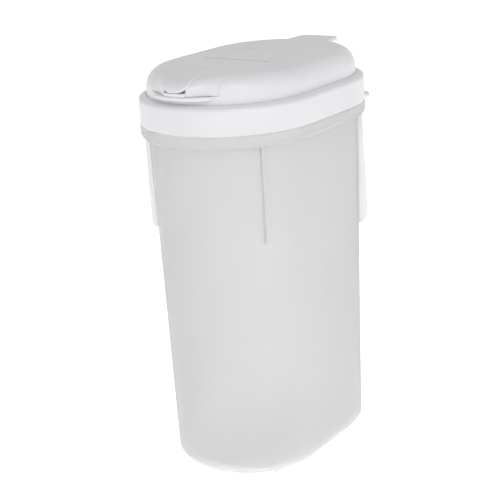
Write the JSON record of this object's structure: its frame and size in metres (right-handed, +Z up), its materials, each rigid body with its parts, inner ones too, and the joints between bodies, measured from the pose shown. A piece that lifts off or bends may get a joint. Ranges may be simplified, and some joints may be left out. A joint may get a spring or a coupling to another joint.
{
  "type": "cereal dispenser",
  "caption": "Tall stadium-plan cereal keeper: frosted tapered tub with corner fins, white press-fit domed lid with a front pour flap and a rear fill flap.",
  "frame": {"origin": "centre of the tub's flat underside", "axes": "+Z up through the lid, +Y along the long side of the plan towards the fill flap (the pour flap is at -Y), +X across the short side"},
  "size_m": [0.1252, 0.176, 0.2779],
  "materials": {
    "frosted_plastic": "translucent frosted polypropylene, satin",
    "white_plastic": "white injection-moulded polypropylene, satin gloss",
    "silicone": "soft milky silicone, matte"
  },
  "bodies": {
    "tub": {"tub": "frosted_plastic"},
    "lid": {"lid": "white_plastic", "lid_gasket": "silicone"},
    "pour_flap": {"pour_flap": "white_plastic", "pour_flap_seal": "silicone"},
    "fill_flap": {"fill_flap": "white_plastic", "fill_flap_seal": "silicone"}
  },
  "joints": [
    {"name": "lid_lift", "type": "slide", "parent": "tub", "child": "lid", "axis": [0, 0, 1], "range_m": [0, 0.06]},
    {"name": "pour_flap_hinge", "type": "hinge", "parent": "lid", "child": "pour_flap", "pos_m": [0, -0.02, 0.2755], "axis": [-1, 0, 0], "range_deg": [0, 95]},
    {"name": "fill_flap_hinge", "type": "hinge", "parent": "lid", "child": "fill_flap", "pos_m": [0, 0.02, 0.2755], "axis": [1, 0, 0], "range_deg": [0, 95]}
  ]
}
